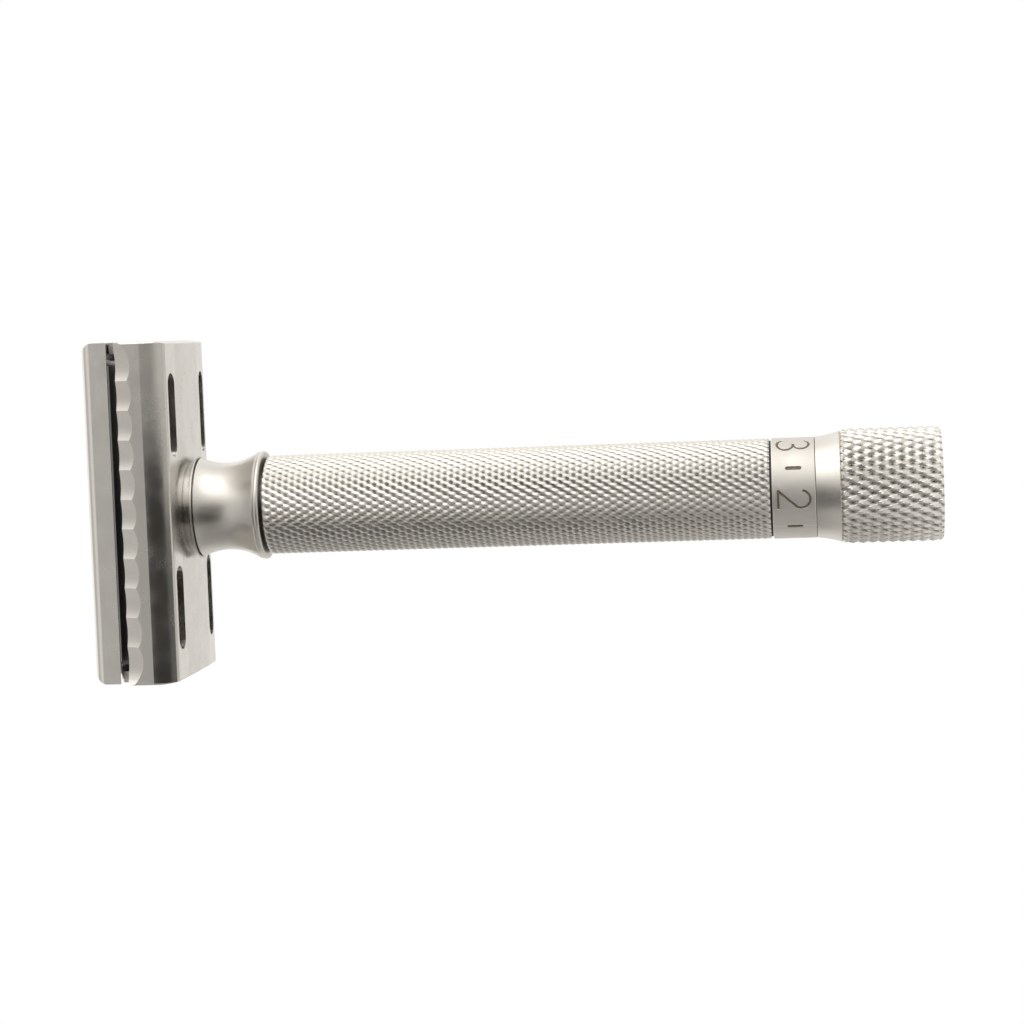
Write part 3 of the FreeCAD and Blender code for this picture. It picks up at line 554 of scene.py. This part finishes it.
# ---------------------------------------------------------------- materials
class Graph:
    """Short way to write a material's node graph."""

    def __init__(self, name):
        self.material = bpy.data.materials.new(name)
        self.material.use_nodes = True
        self.tree = self.material.node_tree
        self.tree.nodes.clear()
        self.place = self.add("ShaderNodeTexCoord").outputs["Object"]

    def add(self, kind, **settings):
        node = self.tree.nodes.new(kind)
        for key, value in settings.items():
            setattr(node, key, value)
        return node

    def put(self, socket, value):
        """Sets a socket to a number, or joins it to another node's output."""
        if isinstance(value, bpy.types.NodeSocket):
            self.tree.links.new(value, socket)
        elif isinstance(value, (tuple, list)) and socket.type == "RGBA" and len(value) == 3:
            socket.default_value = (*value, 1.0)
        else:
            socket.default_value = value

    def noise(self, scale, stretch=(1, 1, 1), detail=4.0, roughness=0.55):
        """Noise value between 0 and 1, with cells about 1/scale metres across."""
        mapping = self.add("ShaderNodeMapping")
        self.put(mapping.inputs["Vector"], self.place)
        self.put(mapping.inputs["Scale"], stretch)
        node = self.add("ShaderNodeTexNoise")
        self.put(node.inputs["Vector"], mapping.outputs["Vector"])
        self.put(node.inputs["Scale"], scale)
        self.put(node.inputs["Detail"], detail)
        self.put(node.inputs["Roughness"], roughness)
        return node.outputs["Fac"]

    def remap(self, value, low, high, to_low, to_high):
        node = self.add("ShaderNodeMapRange", interpolation_type="SMOOTHSTEP")
        for socket, number in zip(node.inputs, (value, low, high, to_low, to_high)):
            self.put(socket, number)
        return node.outputs["Result"]

    def math(self, operation, a, b=0.0):
        node = self.add("ShaderNodeMath", operation=operation)
        self.put(node.inputs[0], a)
        self.put(node.inputs[1], b)
        return node.outputs["Value"]

    def mix(self, share, a, b):
        node = self.add("ShaderNodeMix", data_type="RGBA")
        self.put(node.inputs["Factor"], share)
        self.put(node.inputs[6], a)
        self.put(node.inputs[7], b)
        return node.outputs[2]

    def bump(self, height, distance, strength=1.0, normal=None):
        node = self.add("ShaderNodeBump")
        self.put(node.inputs["Height"], height)
        self.put(node.inputs["Distance"], distance)
        self.put(node.inputs["Strength"], strength)
        if normal is not None:
            self.put(node.inputs["Normal"], normal)
        return node.outputs["Normal"]

    def axis(self, name):
        node = self.add("ShaderNodeSeparateXYZ")
        self.put(node.inputs["Vector"], self.place)
        return node.outputs[name]

    def attribute(self, name):
        return self.add("ShaderNodeAttribute", attribute_name=name).outputs["Fac"]

    def finish(self, colour, metallic, roughness, normal):
        shader = self.add("ShaderNodeBsdfPrincipled")
        self.put(shader.inputs["Base Color"], colour)
        self.put(shader.inputs["Metallic"], metallic)
        self.put(shader.inputs["Roughness"], roughness)
        self.put(shader.inputs["Normal"], normal)
        output = self.add("ShaderNodeOutputMaterial")
        self.put(output.inputs["Surface"], shader.outputs["BSDF"])
        return self.material


def satin_nickel(name, grain_stretch, rough, pits=False, paint_and_shade_fill=False, recess_shade=PLAIN_RECESS_SHADE):
    """Satin nickel plate: fine blasted grain, faint lines the way the part was finished, handling marks,
    sharp edges lightened by rubbed wear with a painted highlight, and painted shade in recesses.
    """
    g = Graph(name)
    cloud = g.noise(CLOUD, detail=3.0)
    smear = g.noise(SMEAR, detail=5.0)
    grain = g.noise(GRAIN, detail=2.0, roughness=0.7)
    lines = g.noise(FINISH_LINES, stretch=grain_stretch, detail=5.0, roughness=0.7)
    colour = g.mix(cloud, NICKEL_DULL, NICKEL_BRIGHT)
    # sharp edges lightened: rubbed wear together with a painted highlight
    pointiness = g.add("ShaderNodeNewGeometry").outputs["Pointiness"]
    rubbed_highlight = g.remap(pointiness, *RUBBED_EDGE_HIGHLIGHT, 0.0, RUBBED_HIGHLIGHT_SHARE)
    colour = g.mix(rubbed_highlight, colour, NICKEL_RUBBED_HIGHLIGHT)
    roughness = g.remap(smear, *NOISE_MIDDLE, rough - 0.05, rough + 0.05)
    roughness = g.math("ADD", roughness, g.math("MULTIPLY", lines, 0.05))
    # painted shade: the colour darkens in crevices and recesses that ambient occlusion finds, from just above
    # the floor
    hidden = g.add("ShaderNodeAmbientOcclusion", samples=8)
    g.put(hidden.inputs["Distance"], recess_shade[0])
    off_floor = g.remap(g.axis("Z"), RECESS_SHADE_FROM, RECESS_SHADE_FULL, 0.0, recess_shade[1])
    crevice_shade = g.math("MULTIPLY", g.remap(hidden.outputs["AO"], *CREVICE_SHADE_OPEN, 1.0, 0.0), off_floor)
    colour = g.mix(crevice_shade, colour, CREVICE_SHADE)
    if pits:
        # the knurl's pits darkened where the grooves cross: grime together with painted shade
        deep = g.remap(g.attribute("pits"), *PIT_EDGE, 0.0, 1.0)
        patchy_grime_and_shade = g.math("MULTIPLY", deep, g.remap(g.noise(PIT_PATCHES, detail=4.0), 0.3, 0.75, 0.7, 1.0))
        colour = g.mix(patchy_grime_and_shade, colour, GRIME_AND_PIT_SHADE)
        roughness = g.math("ADD", roughness, g.math("MULTIPLY", patchy_grime_and_shade, 0.3))
    if paint_and_shade_fill:
        # fill of engraved marks: painted shade in the dial's numbers and ticks, paint in the grip's index dot
        filled = g.remap(g.attribute("paint_and_shade_fill"), *FILL_PAINT_AND_SHADE_EDGE, 0.0, 1.0)
        speckle = g.remap(g.noise(FILL_SPECKLE, detail=3.0), *NOISE_MIDDLE, 0.0, 1.0)
        colour = g.mix(filled, colour, g.mix(speckle, FILL_PAINT_AND_SHADE_DARK, FILL_PAINT_AND_SHADE_LIGHT))
        roughness = g.math("ADD", roughness, g.math("MULTIPLY", filled, 0.2))
    normal = g.bump(grain, PLATE_RELIEF, 0.7)
    normal = g.bump(lines, PLATE_RELIEF, 0.6, normal)
    return g.finish(colour, 1.0, roughness, normal)


def turned_steel(name, colour, rough):
    """Plain turned metal with fine lines round the axis."""
    g = Graph(name)
    rings = g.noise(RINGS, stretch=TURNING_RINGS, detail=6.0, roughness=0.75)
    smear = g.noise(STEEL_SMEAR, detail=4.0)
    dark = tuple(0.8 * c for c in colour)
    shade = g.mix(smear, dark, colour)
    roughness = g.remap(rings, *NOISE_MIDDLE, rough - 0.06, rough + 0.08)
    return g.finish(shade, 1.0, roughness, g.bump(rings, RING_RELIEF, 0.8))


def blade_steel():
    """Strip steel darkened as painted shade, with lighter ground bevels along both cutting edges."""
    g = Graph("blade_steel")
    half_width = BLADE_HIGH.y
    from_middle = g.math("ABSOLUTE", g.axis("Y"))
    bevel = g.remap(from_middle, half_width - EDGE_BEVEL, half_width - EDGE_BEVEL_FULL, 0.0, 1.0)
    lines = g.noise(STRIP_GRAIN, stretch=STRIP_LINES, detail=6.0, roughness=0.7)
    stain = g.noise(STAIN, detail=5.0)
    # the strip's dark colour is painted shade
    body = g.mix(stain, BLADE_SHADE_DARK, BLADE_SHADE_LIGHT)
    colour = g.mix(bevel, body, GROUND_EDGE)
    strip_rough = g.remap(lines, *NOISE_MIDDLE, *BLADE_ROUGH)
    roughness = g.math("SUBTRACT", strip_rough, g.math("MULTIPLY", bevel, GROUND_SMOOTHER))
    return g.finish(colour, 1.0, roughness, g.bump(lines, STRIP_RELIEF, 0.8))


def dull_plastic(name, colour, rough):
    """Nylon or rubber with fine moulding texture."""
    g = Graph(name)
    fine = g.noise(MOULDING, detail=3.0)
    wide = g.noise(MOULDING_CLOUD, detail=4.0)
    shade = g.mix(wide, tuple(0.7 * c for c in colour), tuple(1.4 * c for c in colour))
    roughness = g.remap(fine, *NOISE_MIDDLE, rough - 0.06, rough + 0.06)
    return g.finish(shade, 0.0, roughness, g.bump(fine, MOULDING_RELIEF, 0.6))


def assign(node, material):
    """Gives a CAD node its material."""
    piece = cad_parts[node]
    piece.data.materials.clear()
    piece.data.materials.append(material)


def build_pieces():
    """Materials for every CAD node, and the pieces that stand for some of them."""
    head = satin_nickel("satin_nickel_head", ALONG_X, HEAD_ROUGH, recess_shade=HEAD_RECESS_SHADE)
    turned = satin_nickel("satin_nickel_turned", ROUND_Z, TURNED_ROUGH)
    knurled = satin_nickel("knurled_nickel", ROUND_Z, KNURL_ROUGH, pits=True, paint_and_shade_fill=True)
    numbered = satin_nickel("satin_nickel_dial", ROUND_Z, DIAL_ROUGH, paint_and_shade_fill=True)
    steel = turned_steel("machined_steel", BRIGHT_STEEL, STEEL_ROUGH)
    wire = turned_steel("spring_steel", WIRE_STEEL, WIRE_ROUGH)
    brass = turned_steel("bush_brass", BRASS, BRASS_ROUGH)
    nylon = dull_plastic("black_nylon", BLACK_NYLON, NYLON_ROUGH)
    rubber = dull_plastic("seal_rubber", BLACK_RUBBER, RUBBER_ROUGH)

    for node in ("base_plate", "cap"):
        assign(node, head)
    # the bed's dark colour is painted shade for the inside of the head
    assign("blade_bed", turned_steel("shaded_bed_steel", BED_SHADE_STEEL, BED_ROUGH))
    for node in ("neck", "knob_end_cap"):
        assign(node, turned)
    for node in ("knob_screw", "draw_rod", "base_ring_nut", "spring_seat"):
        assign(node, steel)
    for node in ("bed_stem", "bed_guide_pins", "locating_pins"):
        assign(node, steel)
    assign("rod_clip", wire)
    assign("end_bush", brass)
    assign("thrust_washer", nylon)
    assign("rod_o_ring", rubber)
    assign("blade", blade_steel())

    stand_for(build_knob(), "knob", "knob", knurled)
    stand_for(build_grip(), "grip_tube", "handle", knurled)
    stand_for(build_dial(), "dial_ring", "knob", numbered)
    stand_for(build_stud(), "cap_stud", "cap", steel)

    spring = build_spring()
    spring.data.materials.append(wire)
    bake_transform(spring)
    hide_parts("bed_spring")


# ---------------------------------------------------------------- stage
def build_floor():
    """Round pale floor under the knob that dissolves at its rim and where it is seen edge-on."""
    radius = FLOOR_RADIUS
    sides = FLOOR_SIDES
    turns = [TURN * i / sides for i in range(sides)]
    points = [(0, 0, 0)] + [(radius * math.cos(t), radius * math.sin(t), 0) for t in turns]
    faces = [(0, 1 + i, 1 + (i + 1) % sides) for i in range(sides)]
    floor = mesh_object("floor", points, faces)
    floor.location.z = KNOB_LOW.z - FLOOR_GAP
    g = Graph("floor_paper")
    fibre = g.noise(PAPER_FIBRE, detail=5.0)
    colour = g.mix(fibre, PAPER_DARK, PAPER_LIGHT)
    paper = g.add("ShaderNodeBsdfDiffuse")
    g.put(paper.inputs["Color"], colour)
    glow = g.add("ShaderNodeEmission")
    rays = g.add("ShaderNodeLightPath").outputs
    to_camera = g.math("MULTIPLY", rays["Is Camera Ray"], FLOOR_GLOW)
    g.put(glow.inputs["Color"], FLOOR_GLOW_COLOUR)
    lit = g.add("ShaderNodeAddShader")
    distance = g.add("ShaderNodeVectorMath", operation="LENGTH")
    g.put(distance.inputs[0], g.place)
    under_knob = g.remap(distance.outputs["Value"], KNOB_GLOW_FROM, KNOB_GLOW_TO, KNOB_GLOW, 0.0)
    to_metal = g.math("MULTIPLY", rays["Is Glossy Ray"], under_knob)
    g.put(glow.inputs["Strength"], g.math("ADD", to_camera, to_metal))
    g.put(lit.inputs[0], paper.outputs["BSDF"])
    g.put(lit.inputs[1], glow.outputs["Emission"])
    clear = g.add("ShaderNodeBsdfTransparent")
    rim = g.remap(distance.outputs["Value"], FLOOR_FADE[0] * radius, FLOOR_FADE[1] * radius, 0.0, 1.0)
    facing = g.add("ShaderNodeLayerWeight").outputs["Facing"]
    fade = g.math("MAXIMUM", rim, g.remap(facing, *EDGE_ON_FADE, 0.0, 1.0))
    blend = g.add("ShaderNodeMixShader")
    g.put(blend.inputs["Fac"], fade)
    g.put(blend.inputs[1], lit.outputs["Shader"])
    g.put(blend.inputs[2], clear.outputs["BSDF"])
    output = g.add("ShaderNodeOutputMaterial")
    g.put(output.inputs["Surface"], blend.outputs["Shader"])
    floor.data.materials.append(g.material)


def build_world():
    """White backdrop to the camera; to the metal, a room that is bright behind and above, greyer in front."""
    world = bpy.data.worlds.new("studio")
    bpy.context.scene.world = world
    world.use_nodes = True
    tree = world.node_tree
    tree.nodes.clear()
    direction = tree.nodes.new("ShaderNodeTexCoord").outputs["Generated"]
    parts = tree.nodes.new("ShaderNodeSeparateXYZ")
    tree.links.new(direction, parts.inputs["Vector"])

    def ramp(value, low, high, to_low, to_high):
        node = tree.nodes.new("ShaderNodeMapRange")
        node.interpolation_type = "SMOOTHSTEP"
        tree.links.new(value, node.inputs[0])
        for socket, number in zip(list(node.inputs)[1:5], (low, high, to_low, to_high)):
            socket.default_value = number
        return node.outputs["Result"]

    def combine(operation, a, b):
        node = tree.nodes.new("ShaderNodeMath")
        node.operation = operation
        for socket, value in zip(node.inputs, (a, b)):
            if isinstance(value, bpy.types.NodeSocket):
                tree.links.new(value, socket)
            else:
                socket.default_value = value
        return node.outputs["Value"]

    behind = ramp(parts.outputs["Y"], *ROOM_BEHIND)
    key_side = ramp(parts.outputs["X"], *ROOM_KEY_SIDE)
    key_fade = ramp(parts.outputs["Y"], *ROOM_KEY_FADE)
    over_head = ramp(parts.outputs["Z"], *ROOM_ABOVE)
    level = combine("ADD", combine("MULTIPLY", key_side, key_fade), combine("ADD", behind, ROOM_BASE))
    level = combine("ADD", level, over_head)

    seen = tree.nodes.new("ShaderNodeBackground")
    seen.inputs["Color"].default_value = (1.0, 1.0, 1.0, 1.0)
    seen.inputs["Strength"].default_value = 1.0
    lighting = tree.nodes.new("ShaderNodeBackground")
    lighting.inputs["Color"].default_value = (*ROOM_COLOUR, 1.0)
    tree.links.new(level, lighting.inputs["Strength"])
    pick = tree.nodes.new("ShaderNodeMixShader")
    rays = tree.nodes.new("ShaderNodeLightPath")
    tree.links.new(rays.outputs["Is Camera Ray"], pick.inputs["Fac"])
    tree.links.new(lighting.outputs["Background"], pick.inputs[1])
    tree.links.new(seen.outputs["Background"], pick.inputs[2])
    output = tree.nodes.new("ShaderNodeOutputWorld")
    tree.links.new(pick.outputs["Shader"], output.inputs["Surface"])


def soft_light(name, place, size, power, colour=(1.0, 1.0, 1.0)):
    """Square softbox that faces the middle of the razor."""
    light = bpy.data.lights.new(name, "AREA")
    light.shape = "SQUARE"
    light.size = size
    light.energy = power
    light.color = colour
    lamp = bpy.data.objects.new(name, light)
    lamp.location = place
    lamp.rotation_mode = "QUATERNION"
    lamp.rotation_quaternion = (Vector(LIGHTS_AIM) - Vector(place)).to_track_quat("-Z", "Y")
    bpy.context.scene.collection.objects.link(lamp)
    lamp.visible_camera = False


def reflection_card(name, x, z, shade):
    """Felt card in front of the razor, seen only as a reflection in the metal, which it gives contrast."""
    y = CARD_Y
    points = [(x[0], y, z[0]), (x[1], y, z[0]), (x[1], y, z[1]), (x[0], y, z[1])]
    card = mesh_object(name, points, [(0, 1, 2, 3)])
    g = Graph(name + "_felt")
    weave = g.noise(FELT_WEAVE, detail=4.0)
    colour = g.mix(weave, (0.85 * shade,) * 3, (1.15 * shade,) * 3)
    card.data.materials.append(g.finish(colour, 0.0, CARD_ROUGH, g.bump(weave, FELT_RELIEF)))
    for rays in ("camera", "diffuse", "transmission", "volume_scatter", "shadow"):
        setattr(card, "visible_" + rays, False)


def build_lights():
    """Large key from the picture's top, a weak fill on the head, a grey card and a dark one."""
    soft_light("key", KEY_PLACE, KEY_SIZE, KEY_POWER, KEY_COLOUR)
    soft_light("head_fill", FILL_PLACE, FILL_SIZE, FILL_POWER)
    reflection_card("grey_card", GREY_CARD_X, GREY_CARD_Z, GREY_CARD_SHADE)
    reflection_card("dark_card", DARK_CARD_X, DARK_CARD_Z, DARK_CARD_SHADE)


def build_camera():
    """Camera at the photographed angle, rolled so that the razor lies across the picture."""
    data = bpy.data.cameras.new("camera")
    data.sensor_width = CAMERA_SENSOR_MM
    data.lens = CAMERA_LENS
    data.clip_start, data.clip_end = CAMERA_CLIP
    camera = bpy.data.objects.new("camera", data)
    forward = (CAMERA_AIM - CAMERA_AT).normalized()
    right = forward.cross(CAMERA_UP).normalized()
    up = right.cross(forward)
    turn = Matrix((right, up, -forward)).transposed()
    camera.matrix_world = Matrix.Translation(CAMERA_AT) @ turn.to_4x4()
    bpy.context.scene.collection.objects.link(camera)
    bpy.context.scene.camera = camera


build_pieces()
build_floor()
build_world()
build_lights()
build_camera()
bpy.context.scene.view_settings.view_transform = "Standard"
